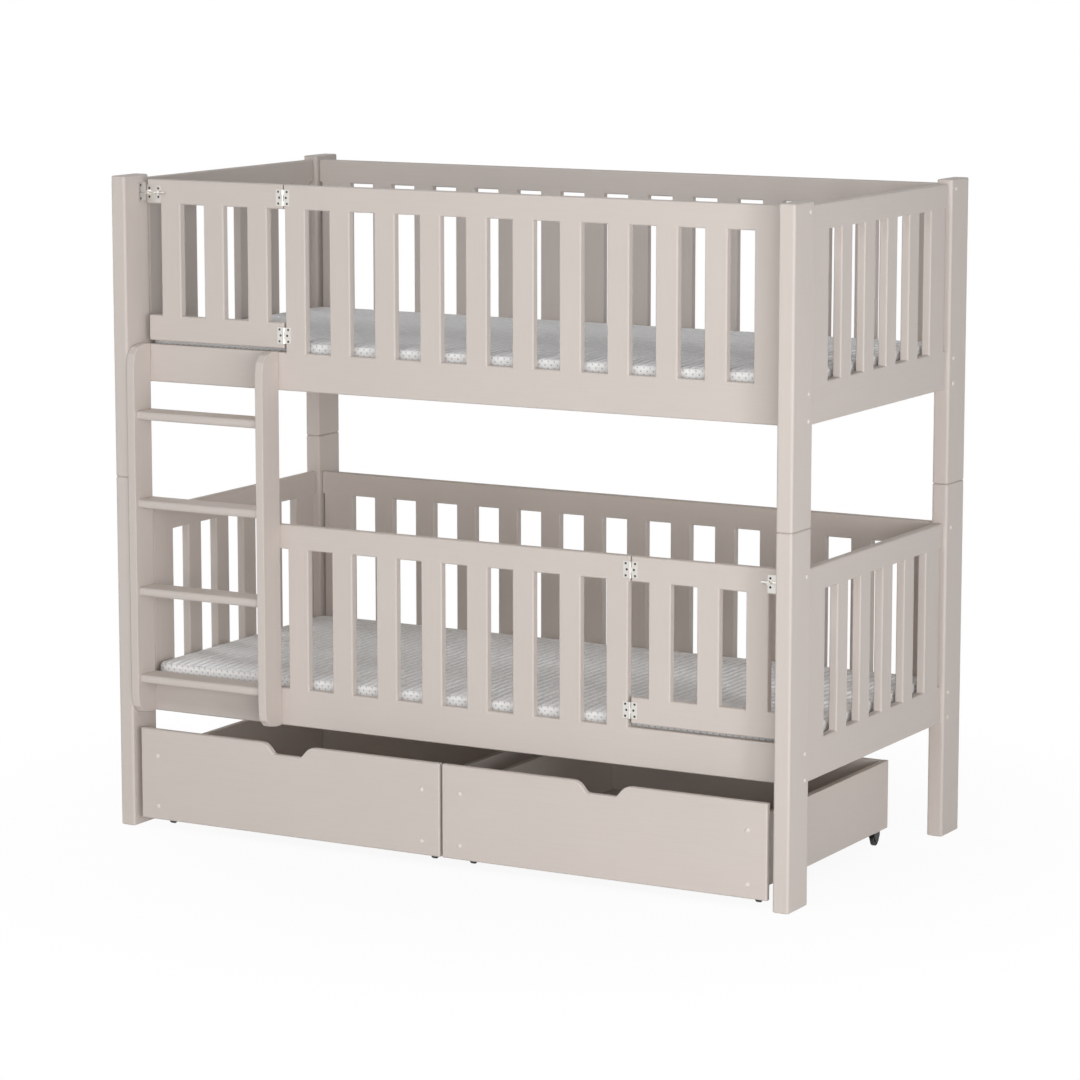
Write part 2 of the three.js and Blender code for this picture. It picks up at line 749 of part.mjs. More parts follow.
// What both beds have alike: two ends, a back, a base and a mattress
function addBed(tier, prefix) {
  const endPanel = framedPanel(2 * postInnerY, endPanelSlit)
  for (const [side, sign] of Object.entries(sides)) {
    const low = sign * (innerLength + panelThickness) / 2 - panelThickness / 2
    place(tier, `${prefix}_${side}_end_panel`, slattedPanel(endPanel, 'x', low), paint)
  }
  const backPanel = framedPanel(2 * postInnerX, longPanelSlit)
  place(tier, `${prefix}_back_panel`, slattedPanel(backPanel, 'y', innerWidth / 2), paint)
  place(tier, `${prefix}_bed_base`, bedBase(), pine)
  place(tier, `${prefix}_mattress`, mattress(), knit, 0, 0, baseTop + fit)
}

// A front panel with its gate, hinges and latch. The gate reaches from its hinge axis towards hand.
function addFront(tier, prefix, panel, hingeX, hand, postGap) {
  place(tier, `${prefix}_front_panel`, slattedPanel(panel, 'y', frontFaceY), paint)

  const swing = new THREE.Group()
  swing.position.set(hingeX, frontFaceY - hingeAxisProud, 0)
  tier.add(swing)
  place(swing, `${prefix}_gate`, slattedPanel(gate(hand), 'y', hingeAxisProud), paint)
  const hingeHeights = {
    top: panelHeight - hingeTopDrop,
    bottom: bottomRailHeight + gateLift + hingeBottomRise,
  }
  for (const [level, height] of Object.entries(hingeHeights)) {
    place(swing, `${prefix}_${level}_hinge_gate_leaf`, hingeLeaf(hand, true), nickel, 0, 0, height)
    place(swing, `${prefix}_${level}_hinge_frame_leaf`, hingeLeaf(-hand, false), nickel, 0, 0, height)
  }
  const freeEnd = hand * (gateHingeGap / 2 + gateLength)
  const boltInSwing = hingeAxisProud - boltStandoff
  place(swing, `${prefix}_latch_plate`, latchPlate(hand), nickel, freeEnd, boltInSwing, boltHeight)
  place(swing, `${prefix}_latch_bolt`, latchBolt(hand, postGap), nickel, freeEnd, boltInSwing, boltHeight)
  place(tier, `${prefix}_latch_keeper`, latchKeeper(hand), nickel, hand * postInnerX, boltY, boltHeight)
}

function addLadder() {
  const ladder = new THREE.Group()
  ladder.position.set(-postInnerX + fit, 0, underBedHeight)
  bed.add(ladder)
  place(ladder, 'ladder_stringer_left', stringer(), paint)
  place(ladder, 'ladder_stringer_right', stringer(), paint, ladderWidth - stringerThickness)
  for (let i = 0; i < rungCount; i++) {
    const rise = firstRungRise + i * rungPitch
    place(ladder, `ladder_rung_${i + 1}`, rung(), paint, stringerThickness + fit, 0, rise)
  }
}

function addDrawers() {
  for (const [drawerSideName, sign] of Object.entries(sides)) {
    const drawer = new THREE.Group()
    drawer.position.set(sign * (drawerFrontLength + drawerMiddleGap) / 2, -bedWidth / 2, 0)
    bed.add(drawer)
    const prefix = `${drawerSideName}_drawer`
    place(drawer, `${prefix}_front`, drawerFront(), paint)
    place(drawer, `${prefix}_back`, drawerBackBoard(), paint)
    place(drawer, `${prefix}_bottom`, drawerBottom(), paint)
    for (const [side, signX] of Object.entries(sides)) {
      place(drawer, `${prefix}_${side}_side`, drawerSide(signX), paint)
      for (const [depth, y] of Object.entries(castorDepths)) {
        const name = `${prefix}_wheel_${depth}_${side}`
        place(drawer, name, wheel(), blackPlastic, signX * drawerSideX, y, wheelRadius + wheelFloorGap)
      }
    }
  }
}

addPosts()
const lowerBed = new THREE.Group()
const upperBed = new THREE.Group()
lowerBed.position.z = underBedHeight
upperBed.position.z = underBedHeight + tierRise
bed.add(lowerBed, upperBed)
addBed(lowerBed, 'lower')
addBed(upperBed, 'upper')
addFront(lowerBed, 'lower', lowerFrontPanel(), lowerHingeX, 1, lowerGatePostGap)
addFront(upperBed, 'upper', upperFrontPanel(), upperHingeX, -1, upperGatePostGap)
addLadder()
addDrawers()

export default bed
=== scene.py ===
import json
import math

import bmesh
import bpy
import numpy as np
from mathutils import Matrix, Vector

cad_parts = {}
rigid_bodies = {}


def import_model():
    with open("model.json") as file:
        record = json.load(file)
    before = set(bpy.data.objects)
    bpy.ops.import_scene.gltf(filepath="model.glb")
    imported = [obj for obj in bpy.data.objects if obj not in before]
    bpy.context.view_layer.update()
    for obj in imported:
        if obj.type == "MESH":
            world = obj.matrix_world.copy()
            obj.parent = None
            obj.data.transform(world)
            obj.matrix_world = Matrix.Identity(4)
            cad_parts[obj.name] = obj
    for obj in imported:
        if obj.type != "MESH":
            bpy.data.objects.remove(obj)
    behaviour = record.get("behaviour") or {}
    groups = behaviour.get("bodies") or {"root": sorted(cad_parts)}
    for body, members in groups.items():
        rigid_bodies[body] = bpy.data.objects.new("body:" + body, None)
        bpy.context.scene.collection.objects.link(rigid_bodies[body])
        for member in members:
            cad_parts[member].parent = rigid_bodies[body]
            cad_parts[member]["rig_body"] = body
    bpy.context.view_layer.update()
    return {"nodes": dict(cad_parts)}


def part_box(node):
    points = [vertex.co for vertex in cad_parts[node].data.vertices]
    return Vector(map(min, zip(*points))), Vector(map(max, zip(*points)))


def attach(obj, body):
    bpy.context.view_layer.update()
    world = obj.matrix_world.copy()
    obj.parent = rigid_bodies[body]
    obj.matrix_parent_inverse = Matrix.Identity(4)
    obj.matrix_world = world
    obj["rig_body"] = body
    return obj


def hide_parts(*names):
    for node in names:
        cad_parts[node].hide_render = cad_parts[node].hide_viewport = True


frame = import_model()

MM = 0.001
TIERS = ("lower", "upper")
SIDES = {"left": -1, "right": 1}
DEPTHS = {"front": -1, "back": 1}

# Panels: what parts the rails from the uprights between them
BOTTOM_RAIL = 94
GATE_BOTTOM_RAIL = 63
TOP_RAIL = 60

# The depth of a bed base's cross slats, from its top, that takes their grain
SLAT_DEPTH = 17.5

# Hinges and latches
SHEET = 1.2
SCREW_RADIUS = 2.9
SCREW_HEAD = 0.55
SCREW_RECESS = 0.9
SCREW_NECK = 1.6
LEAF_SCREW_SPACING = 14.5
LEAF_SCREW_REACH = 12.5
LEAF_MIDDLE_SCREW_REACH = 9.5
LATCH_SCREW_END_INSET = 7
LATCH_SCREW_FOOT_INSET = 13.7
LATCH_SCREW_HEAD_INSET = 8
KEEPER_LEAD = 5
KEEPER_SCREW_INSET = 6.5

# Caps
CAP_NECK = 1.5
CAP_NECK_INSET = 0.8
CAP_SEAT = 0.02
POST_CAP_RADIUS = 5
POST_CAP_PROUD = 2.2
POST_CAP_SETBACK = 81
POST_CAP_RISES = (13, 76, 491)
DRAWER_CAP_RADIUS = 5.5
DRAWER_CAP_PROUD = 2.2
DRAWER_CAP_INSET = 50
DRAWER_CAP_HEIGHTS = (57.5, 186)

# Castors
WHEEL_RADIUS = 14.5
WHEEL_HALF = 5.5
AXLE_RADIUS = 2
AXLE_HALF = 8.2
DRAWER_SIDE_FOOT = 33.5

# Mattresses: before it swells, the pad is smaller than its box by the trim, and lower by the swell too
MATTRESS_CORNER = 35
MATTRESS_EDGE = 9
MATTRESS_SIDE_DRAW = 3
MATTRESS_SWELL = 5
MATTRESS_TRIM = 2
MATTRESS_SEAM = 1.6
MATTRESS_TOP_CELLS = (120, 54)
MATTRESS_EDGE_TURNS = (8, 26, 48, 70, 90)
MATTRESS_SIDE_ROWS = 6
SWELL_PRESSURE = 4
SWELL_FRAMES = 20

# How near two points in metres count as one, and how near a cut counts as lying in its plane
SAME_POINT = 0.00001
IN_PLANE = 0.000005


# Materials


def linear(code):
    """An sRGB hex colour as linear RGBA."""
    channels = [int(code[i:i + 2], 16) / 255 for i in (0, 2, 4)]
    return [c / 12.92 if c <= 0.04045 else ((c + 0.055) / 1.055) ** 2.4 for c in channels] + [1]


def add(tree, kind, inputs=None, **settings):
    """Adds a node. An input is a value, or another node's output socket, which is linked."""
    node = tree.nodes.new("ShaderNode" + kind)
    for key, value in settings.items():
        setattr(node, key, value)
    for key, value in (inputs or {}).items():
        if isinstance(value, bpy.types.NodeSocket):
            tree.links.new(value, node.inputs[key])
        else:
            node.inputs[key].default_value = value
    return node


def start(name):
    """A new material, its node tree, its shader and its Object coordinates."""
    material = bpy.data.materials.new(name)
    material.use_nodes = True
    tree = material.node_tree
    position = add(tree, "TexCoord").outputs["Object"]
    return material, tree, tree.nodes["Principled BSDF"], position


def blend_colours(tree, factor, first, second):
    """Goes from one colour to another with a factor. A colour is a hex code or a node's output socket."""
    first, second = [linear(colour) if isinstance(colour, str) else colour for colour in (first, second)]
    mix = add(tree, "Mix", {"Factor": factor, "A": first, "B": second}, data_type="RGBA")
    return mix.outputs["Result"]


def painted_wood(name, along):
    """Solid pine sprayed with a warm grey paint, between matt and satin.

    The paint levels out to a weak sheen with a faint orange peel, and the grain below, which runs along
    the board, shows through it as shallow streaks."""
    material, tree, shader, position = start(name)
    streak = [330, 330, 330]
    streak["xyz".index(along)] = 9
    stretched = add(tree, "Mapping", {"Vector": position, "Scale": streak}).outputs["Vector"]
    grain = add(tree, "TexNoise", {"Vector": stretched, "Scale": 1.0, "Detail": 3.0, "Roughness": 0.6})
    cloud = add(tree, "TexNoise", {"Vector": position, "Scale": 3.0, "Detail": 2.0})
    peel = add(tree, "TexNoise", {"Vector": position, "Scale": 520.0, "Detail": 1.0})
    tint = blend_colours(tree, cloud.outputs["Fac"], "CBC2BC", "D1C8C2")
    line = add(tree, "MapRange", {
        "Value": grain.outputs["Fac"], "From Min": 0.35, "From Max": 0.7, "To Min": 0.0, "To Max": 0.22,
    })
    colour = blend_colours(tree, line.outputs["Result"], tint, "C4BAB3")
    tree.links.new(colour, shader.inputs["Base Color"])
    gloss = add(tree, "MapRange", {"Value": cloud.outputs["Fac"], "To Min": 0.5, "To Max": 0.6})
    tree.links.new(gloss.outputs["Result"], shader.inputs["Roughness"])
    shader.inputs["Specular IOR Level"].default_value = 0.2
    lines = add(tree, "Bump", {
        "Height": grain.outputs["Fac"], "Strength": 0.35, "Distance": 0.00012,
    })
    skin = add(tree, "Bump", {
        "Height": peel.outputs["Fac"], "Strength": 0.3, "Distance": 0.00005,
        "Normal": lines.outputs["Normal"],
    })
    tree.links.new(skin.outputs["Normal"], shader.inputs["Normal"])
    return material


def bare_pine(name, along):
    """Planed pine without finish: pale straw wood with darker late-wood lines along the board."""
    material, tree, shader, position = start(name)
    streak = [140, 140, 140]
    streak["xyz".index(along)] = 3.5
    stretched = add(tree, "Mapping", {"Vector": position, "Scale": streak}).outputs["Vector"]
    rings = add(tree, "TexNoise", {
        "Vector": stretched, "Scale": 1.0, "Detail": 4.0, "Roughness": 0.55, "Distortion": 0.6,
    })
    sharp = add(tree, "MapRange", {"Value": rings.outputs["Fac"], "From Min": 0.4, "From Max": 0.66})
    colour = blend_colours(tree, sharp.outputs["Result"], "E3CDA6", "C79F68")
    tree.links.new(colour, shader.inputs["Base Color"])
    shader.inputs["Roughness"].default_value = 0.62
    bump = add(tree, "Bump", {"Height": rings.outputs["Fac"], "Strength": 0.4, "Distance": 0.0002})
    tree.links.new(bump.outputs["Normal"], shader.inputs["Normal"])
    return material


def fine_finish(name, noise, colours, roughness, relief):
    """A material whose colour, roughness and relief all follow one fine noise.

    The noise is its scale and detail, the relief the bump's strength and its distance in metres. Returns
    the material and its shader."""
    material, tree, shader, position = start(name)
    scale, detail = noise
    height = add(tree, "TexNoise", {"Vector": position, "Scale": scale, "Detail": detail}).outputs["Fac"]
    tree.links.new(blend_colours(tree, height, *colours), shader.inputs["Base Color"])
    low, high = roughness
    gloss = add(tree, "MapRange", {"Value": height, "To Min": low, "To Max": high})
    tree.links.new(gloss.outputs["Result"], shader.inputs["Roughness"])
    strength, distance = relief
    bump = add(tree, "Bump", {"Height": height, "Strength": strength, "Distance": distance})
    tree.links.new(bump.outputs["Normal"], shader.inputs["Normal"])
    return material, shader


def plated_steel(name, colours, roughness):
    """Stamped steel sheet, barrel-plated: bright, with the fine tumbling scratches of the plating drum."""
    material, shader = fine_finish(name, (900.0, 3.0), colours, roughness, (0.2, 0.00003))
    shader.inputs["Metallic"].default_value = 1.0
    return material


def moulded_cap(name):
    """A screw cap moulded in plastic to match the paint, smoother than the wood, and tinted a little lighter
    than it as a painted highlight for the light that its small dome catches.

    The mould's fine spark-eroded skin breaks its shine up, so that each cap shows as a soft light disc."""
    # painted highlight: D9D1CB and E3DCD7 are lighter than the paint's CBC2BC, for the light the small domes
    # catch
    return fine_finish(name, (1600.0, 1.0), ("D9D1CB", "E3DCD7"), (0.28, 0.38), (0.2, 0.00003))[0]


def moulded_nylon(name):
    """Black nylon, injection moulded in a finely eroded mould: matt with a slight grain."""
    return fine_finish(name, (1400.0, 2.0), ("171616", "242221"), (0.42, 0.6), (0.35, 0.00008))[0]


def ribbed_knit(name):
    """Polyester double knit of a mattress top, quilted in fine ribs across the bed.

    The ribs are 21 mm apart and swell a little, and their grooves are painted a little greyer than their
    crests, as painted shade; the loops between them are 3 mm wide, coarser than the real yarn so that they
    show."""
    material, tree, shader, position = start(name)
    wander = add(tree, "TexNoise", {"Vector": position, "Scale": 14.0, "Detail": 2.0})
    ribs = add(tree, "TexWave", {
        "Vector": position, "Scale": 15.0, "Distortion": 2.2, "Detail": 2.0, "Detail Scale": 3.0,
    }, bands_direction="X")
    loops = add(tree, "TexVoronoi", {"Vector": position, "Scale": 330.0, "Randomness": 0.55})
    band = add(tree, "MapRange", {"Value": ribs.outputs["Fac"], "From Min": 0.05, "From Max": 0.6})
    # painted shade: the knit goes from grey E0E3E7 in the rib grooves, where the fold bump dips, to white
    # FBFCFE on the crests
    painted_rib_shade = blend_colours(tree, band.outputs["Result"], "E0E3E7", "FBFCFE")
    spot = add(tree, "MapRange", {
        "Value": loops.outputs["Distance"], "From Min": 0.25, "From Max": 0.75, "To Max": 0.35,
    })
    speckled = blend_colours(tree, spot.outputs["Result"], painted_rib_shade, "E4E6E9")
    patch = add(tree, "MapRange", {
        "Value": wander.outputs["Fac"], "From Min": 0.45, "From Max": 0.75, "To Max": 0.25,
    })
    colour = blend_colours(tree, patch.outputs["Result"], speckled, "FAFBFD")
    tree.links.new(colour, shader.inputs["Base Color"])
    shader.inputs["Diffuse Roughness"].default_value = 1.0
    shader.inputs["Roughness"].default_value = 0.62
    shader.inputs["Sheen Weight"].default_value = 0.8
    shader.inputs["Sheen Roughness"].default_value = 0.5
    fold = add(tree, "Bump", {"Height": ribs.outputs["Fac"], "Strength": 1.0, "Distance": 0.0032})
    yarn = add(tree, "Bump", {
        "Height": loops.outputs["Distance"], "Strength": 0.7, "Distance": 0.0008,
        "Normal": fold.outputs["Normal"],
    })
    tree.links.new(yarn.outputs["Normal"], shader.inputs["Normal"])
    return material


def dimpled_border(name):
    """White knitted spacer band round the mattress, drawn in at rows of small dimples, each greyed in its
    hollow as painted shade.

    The dimples stand 17 mm apart in staggered rows: a square lattice of 12 mm cells, turned 45 degrees, on
    x + y round the band and z up it."""
    material, tree, shader, position = start(name)
    axes = add(tree, "SeparateXYZ", {"Vector": position})
    around = add(tree, "Math", {0: axes.outputs["X"], 1: axes.outputs["Y"]}, operation="ADD")
    unrolled = add(tree, "CombineXYZ", {"X": around.outputs["Value"], "Y": axes.outputs["Z"]})
    turned_cells = add(tree, "Mapping", {
        "Vector": unrolled.outputs["Vector"], "Rotation": (0, 0, math.radians(45)), "Scale": (83, 83, 83),
    })
    cells = add(tree, "TexVoronoi", {
        "Vector": turned_cells.outputs["Vector"], "Scale": 1.0, "Randomness": 0.0,
    }, voronoi_dimensions="2D")
    dimple_dent_and_shade = add(tree, "MapRange", {
        "Value": cells.outputs["Distance"], "From Min": 0.08, "From Max": 0.32,
    }, interpolation_type="SMOOTHSTEP")
    yarn = add(tree, "TexNoise", {"Vector": position, "Scale": 420.0, "Detail": 2.0})
    white = blend_colours(tree, yarn.outputs["Fac"], "EFEFEF", "FAFAF9")
    # painted shade: grey C0C2C4 at the middle of each dimple, where the dent is deepest
    colour = blend_colours(tree, dimple_dent_and_shade.outputs["Result"], "C0C2C4", "F6F6F5")
    speckled = blend_colours(tree, dimple_dent_and_shade.outputs["Result"], colour, white)
    tree.links.new(speckled, shader.inputs["Base Color"])
    shader.inputs["Roughness"].default_value = 0.88
    shader.inputs["Sheen Weight"].default_value = 0.2
    dent = add(tree, "Bump", {"Height": dimple_dent_and_shade.outputs["Result"], "Strength": 0.5, "Distance": 0.0012})
    fuzz = add(tree, "Bump", {
        "Height": yarn.outputs["Fac"], "Strength": 0.4, "Distance": 0.0004,
        "Normal": dent.outputs["Normal"],
    })
    tree.links.new(fuzz.outputs["Normal"], shader.inputs["Normal"])
    return material


PAINT = {axis: painted_wood(f"satin_painted_pine_{axis}", axis) for axis in "xyz"}
PINE = {axis: bare_pine(f"planed_pine_{axis}", axis) for axis in "xy"}
NICKEL = plated_steel("nickel_plated_steel", ("D2CFCA", "E6E3DE"), (0.3, 0.45))
SCREW_STEEL = plated_steel("black_zinc_screw_steel", ("1F1D1C", "35322F"), (0.4, 0.6))
CAP = moulded_cap("plastic_cap_with_painted_highlight")
NYLON = moulded_nylon("moulded_black_nylon")
KNIT = ribbed_knit("quilted_polyester_knit")
BORDER = dimpled_border("dimpled_border_knit")


# Making pieces


def show(name, mesh, body, replaces=()):
    """Puts a mesh in the scene as a piece that rides on a body."""
    piece = bpy.data.objects.new(name, mesh)
    bpy.context.scene.collection.objects.link(piece)
    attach(piece, body)
    if replaces:
        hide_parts(*replaces)
    return piece


def mesh_of(name, shape, material):
    """A smooth mesh from points, an (n, 3) array in mm, and faces, lists of point numbers."""
    points, faces = shape
    mesh = bpy.data.meshes.new(name)
    mesh.from_pydata((points * MM).tolist(), [], faces)
    mesh.materials.append(material)
    mesh.polygons.foreach_set("use_smooth", np.ones(len(mesh.polygons), bool))
    mesh.set_sharp_from_angle(angle=math.radians(40))
    mesh.validate()
    return mesh


def joined(shapes):
    """Several shapes as one: their points one after the other, each face's numbers moved up to match."""
    counts = np.cumsum([0] + [len(points) for points, _ in shapes])
    faces = [[number + first for number in face] for first, (_, part) in zip(counts, shapes) for face in part]
    return np.concatenate([points for points, _ in shapes]), faces


AIM = {
    "+z": np.eye(3),
    "+x": np.array([[0, 0, 1], [0, 1, 0], [-1, 0, 0]]),
    "-x": np.array([[0, 0, -1], [0, 1, 0], [1, 0, 0]]),
    "-y": np.array([[1, 0, 0], [0, 0, -1], [0, 1, 0]]),
}


def placed(shape, aim, x, y, z):
    """A shape turned so that its +Z points along aim, then moved to x, y, z."""
    points, faces = shape
    return points @ AIM[aim].T + np.array([x, y, z]), faces


def closed_rings(rings, foot, head):
    """Rings of points, a (rings, segments, 3) array from the lowest to the highest, as a closed surface.

    Quads join each ring to the next, and triangles join the end rings to poles at heights foot and head."""
    count, segments = rings.shape[:2]
    row, column = np.meshgrid(np.arange(count - 1), np.arange(segments), indexing="ij")
    after = (column + 1) % segments
    quads = np.stack([
        row * segments + column, row * segments + after,
        (row + 1) * segments + after, (row + 1) * segments + column,
    ], axis=-1).reshape(-1, 4)
    first = np.arange(segments)
    second = (first + 1) % segments
    last = (count - 1) * segments
    bottom = np.stack([second, first, np.full(segments, count * segments)], axis=-1)
    top = np.stack([last + first, last + second, np.full(segments, count * segments + 1)], axis=-1)
    points = np.concatenate([rings.reshape(-1, 3), [[0, 0, foot], [0, 0, head]]])
    return points, quads.tolist() + bottom.tolist() + top.tolist()


def turned(profile, segments):
    """A solid of revolution about Z: (r, h) becomes r cos t, r sin t, h for t round the circle.

    The profile runs from the lowest point on the axis to the highest one, which become poles."""
    profile = np.array(profile, float)
    angle = np.arange(segments) * 2 * np.pi / segments
    radius, height = profile[1:-1, :1], profile[1:-1, 1:]
    rings = np.stack([
        radius * np.cos(angle), radius * np.sin(angle), np.broadcast_to(height, (len(radius), segments)),
    ], axis=-1)
    return closed_rings(rings, profile[0, 1], profile[-1, 1])


def merged(node, planes=()):
    """A CAD node's surface with its triangles' points merged and its flat faces joined.

    It is then cut along planes, each an axis number and a height in metres, so that the faces on each side
    of one can take a grain of their own."""
    sheet = bmesh.new()
    sheet.from_mesh(frame["nodes"][node].data)
    bmesh.ops.remove_doubles(sheet, verts=sheet.verts, dist=SAME_POINT)
    for axis, height in planes:
        normal = [0, 0, 0]
        normal[axis] = 1
        spot = [value * height for value in normal]
        everything = sheet.verts[:] + sheet.edges[:] + sheet.faces[:]
        bmesh.ops.bisect_plane(sheet, geom=everything, dist=IN_PLANE, plane_co=spot, plane_no=normal)
    for edge in sheet.edges:
        edge.seam = any(
            all(abs(vert.co[axis] - height) < SAME_POINT for vert in edge.verts) for axis, height in planes
        )
    bmesh.ops.dissolve_limit(
        sheet, angle_limit=math.radians(0.5), verts=sheet.verts, edges=sheet.edges, delimit={"SEAM"},
    )
    bmesh.ops.recalc_face_normals(sheet, faces=sheet.faces)
    mesh = bpy.data.meshes.new(node)
    sheet.to_mesh(mesh)
    sheet.free()
    return mesh


def board(node, materials, pick=None, planes=(), edge=0.9):
    """A CAD node with its edges rounded by edge, in mm, in the finish that pick gives each face.

    pick takes the faces' middles, an (n, 3) array in metres, and returns their material numbers."""
    mesh = merged(node, planes)
    for material in materials:
        mesh.materials.append(material)
    count = len(mesh.polygons)
    mesh.polygons.foreach_set("use_smooth", np.ones(count, bool))
    if pick:
        middles = np.empty(count * 3)
        mesh.polygons.foreach_get("center", middles)
        mesh.polygons.foreach_set("material_index", pick(middles.reshape(-1, 3)).astype(np.int32))
    piece = show(node + "_dressed", mesh, frame["nodes"][node]["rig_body"], [node])
    rounding = piece.modifiers.new("Rounding", "BEVEL")
    rounding.width = edge * MM
    rounding.segments = 2
    rounding.limit_method = "ANGLE"
    rounding.angle_limit = math.radians(25)
    rounding.use_clamp_overlap = True
    shading = piece.modifiers.new("Shading", "WEIGHTED_NORMAL")
    shading.keep_sharp = True
    shading.weight = 100


# Boards


def slatted(node, rail_axis, bottom_rail):
    """A slatted panel or gate: the grain runs along the rails and up the uprights between them."""
    low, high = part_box(node)
    foot = low.z + bottom_rail * MM
    head = high.z - TOP_RAIL * MM
    board(
        node, [PAINT[rail_axis], PAINT["z"]],
        pick=lambda middles: (middles[:, 2] > foot) & (middles[:, 2] < head),
        planes=[(2, foot), (2, head)],
    )


def dress_boards():
    for tier in TIERS:
        for depth in DEPTHS:
            for side in SIDES:
                board(f"{tier}_post_{depth}_{side}", [PAINT["z"]])
        for side in SIDES:
            slatted(f"{tier}_{side}_end_panel", "y", BOTTOM_RAIL)
        for name in ("back_panel", "front_panel"):
            slatted(f"{tier}_{name}", "x", BOTTOM_RAIL)
        slatted(f"{tier}_gate", "x", GATE_BOTTOM_RAIL)
        slat_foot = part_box(f"{tier}_bed_base")[1].z - SLAT_DEPTH * MM
        board(
            f"{tier}_bed_base", [PINE["x"], PINE["y"]],
            pick=lambda middles: middles[:, 2] > slat_foot, edge=0.8,
        )
    for side in SIDES:
        board(f"ladder_stringer_{side}", [PAINT["z"]])
    for rung in range(1, 5):
        board(f"ladder_rung_{rung}", [PAINT["x"]])


def dress_drawers():
    foot = DRAWER_SIDE_FOOT * MM
    for drawer in SIDES:
        board(f"{drawer}_drawer_front", [PAINT["x"]])
        board(f"{drawer}_drawer_back", [PAINT["x"]])
        board(f"{drawer}_drawer_bottom", [PAINT["x"]], edge=0.4)
        for side in SIDES:
            board(
                f"{drawer}_drawer_{side}_side", [PAINT["y"], NYLON],
                pick=lambda middles: middles[:, 2] < foot - SAME_POINT, planes=[(2, foot)], edge=0.5,
            )
        low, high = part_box(f"{drawer}_drawer_front")
        spots = [
            (x, height)
            for x in (low.x / MM + DRAWER_CAP_INSET, high.x / MM - DRAWER_CAP_INSET)
            for height in DRAWER_CAP_HEIGHTS
        ]
        caps = [placed(cap(DRAWER_CAP_RADIUS, DRAWER_CAP_PROUD), "-y", x, low.y / MM, z) for x, z in spots]
        show(
            f"{drawer}_drawer_caps", mesh_of("caps", joined(caps), CAP), f"{drawer}_drawer",
        )


def cap(radius, proud):
    """A push-in screw cap: a shallow dome with a soft rim on a short neck."""
    neck = radius - CAP_NECK_INSET
    return turned([
        (0, -CAP_NECK), (neck, -CAP_NECK), (neck, CAP_SEAT), (radius, CAP_SEAT), (radius, 0.3 * proud),
        (0.95 * radius, 0.58 * proud), (0.84 * radius, 0.8 * proud), (0.6 * radius, 0.93 * proud),
        (0.3 * radius, 0.985 * proud), (0, proud),
    ], 28)


def post_caps():
    """Caps over the bolts that go through the posts into the ends of the long panels."""
    caps = []
    for side, sign in SIDES.items():
        for depth, sign_y in DEPTHS.items():
            low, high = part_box(f"lower_post_{depth}_{side}")
            x = (high.x if sign > 0 else low.x) / MM
            edge_y = (low.y if sign_y < 0 else high.y) / MM
            y = edge_y - sign_y * POST_CAP_SETBACK
            for tier in TIERS:
                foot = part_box(f"{tier}_back_panel")[0].z / MM
                for rise in POST_CAP_RISES:
                    aim = "+x" if sign > 0 else "-x"
                    caps.append(placed(cap(POST_CAP_RADIUS, POST_CAP_PROUD), aim, x, y, foot + rise))
    show("post_bolt_caps", mesh_of("post_bolt_caps", joined(caps), CAP), "bed_frame")


# Hardware


def screw():
    """A raised countersunk screw head with a cross recess.

    On a polar grid the face is a shallow dome, head (1 - 0.8 (r/R)^2), less a cross-shaped recess. That is
    deepest where the smaller of |x| and |y| is under 0.16 R and r is under 0.58 R, and runs out at 0.26 R
    and 0.7 R. A neck of half the radius goes down into the hole."""
    rings, segments = 12, 32
    reach = np.linspace(0, 1, rings + 1)[1:, None] * SCREW_RADIUS
    angle = np.arange(segments) * 2 * np.pi / segments
    x, y = reach * np.cos(angle), reach * np.sin(angle)
    arm = np.clip((0.26 * SCREW_RADIUS - np.minimum(abs(x), abs(y))) / (0.1 * SCREW_RADIUS), 0, 1)
    arm *= np.clip((0.7 * SCREW_RADIUS - np.hypot(x, y)) / (0.12 * SCREW_RADIUS), 0, 1)
    z = SCREW_HEAD * (1 - 0.8 * (np.hypot(x, y) / SCREW_RADIUS) ** 2) - SCREW_RECESS * arm
    face = np.stack([x, y, z], axis=-1)[::-1]
    neck = np.stack([0.5 * x[-1], 0.5 * y[-1], np.full(segments, -SCREW_NECK)], axis=-1)[None]
    return closed_rings(np.concatenate([neck, face]), -SCREW_NECK, SCREW_HEAD - SCREW_RECESS)


def metal(node):
    """A hinge or latch piece in plated steel, its stamped edges just broken."""
    board(node, [NICKEL], edge=0.25)


def hinge_screws(tier, leaf, body):
    """Three screws in each leaf of a tier's two hinges: two at the outer corners and one between."""
    screws = []
    for level in ("top", "bottom"):
        low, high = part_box(f"{tier}_{level}_hinge_{leaf}_leaf")
        knuckle = hinge_axis(tier, level)
        hand = 1 if (low.x + high.x) / 2 > knuckle * MM else -1
        height = (low.z + high.z) / 2 / MM
        back = high.y / MM
        for reach, rise in (
            (LEAF_SCREW_REACH, LEAF_SCREW_SPACING), (LEAF_MIDDLE_SCREW_REACH, 0),
            (LEAF_SCREW_REACH, -LEAF_SCREW_SPACING),
        ):
            screws.append(placed(screw(), "-y", knuckle + hand * reach, back - SHEET, height + rise))
    name = f"{tier}_{leaf}_hinge_screws"
    show(name, mesh_of(name, joined(screws), SCREW_STEEL), body)


def hinge_axis(tier, level):
    """A hinge pin's x in mm: both leaves reach past it by the knuckle's radius of 2.8 mm."""
    gate_low, gate_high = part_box(f"{tier}_{level}_hinge_gate_leaf")
    frame_low, frame_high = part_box(f"{tier}_{level}_hinge_frame_leaf")
    return (max(gate_low.x, frame_low.x) + min(gate_high.x, frame_high.x)) / 2 / MM


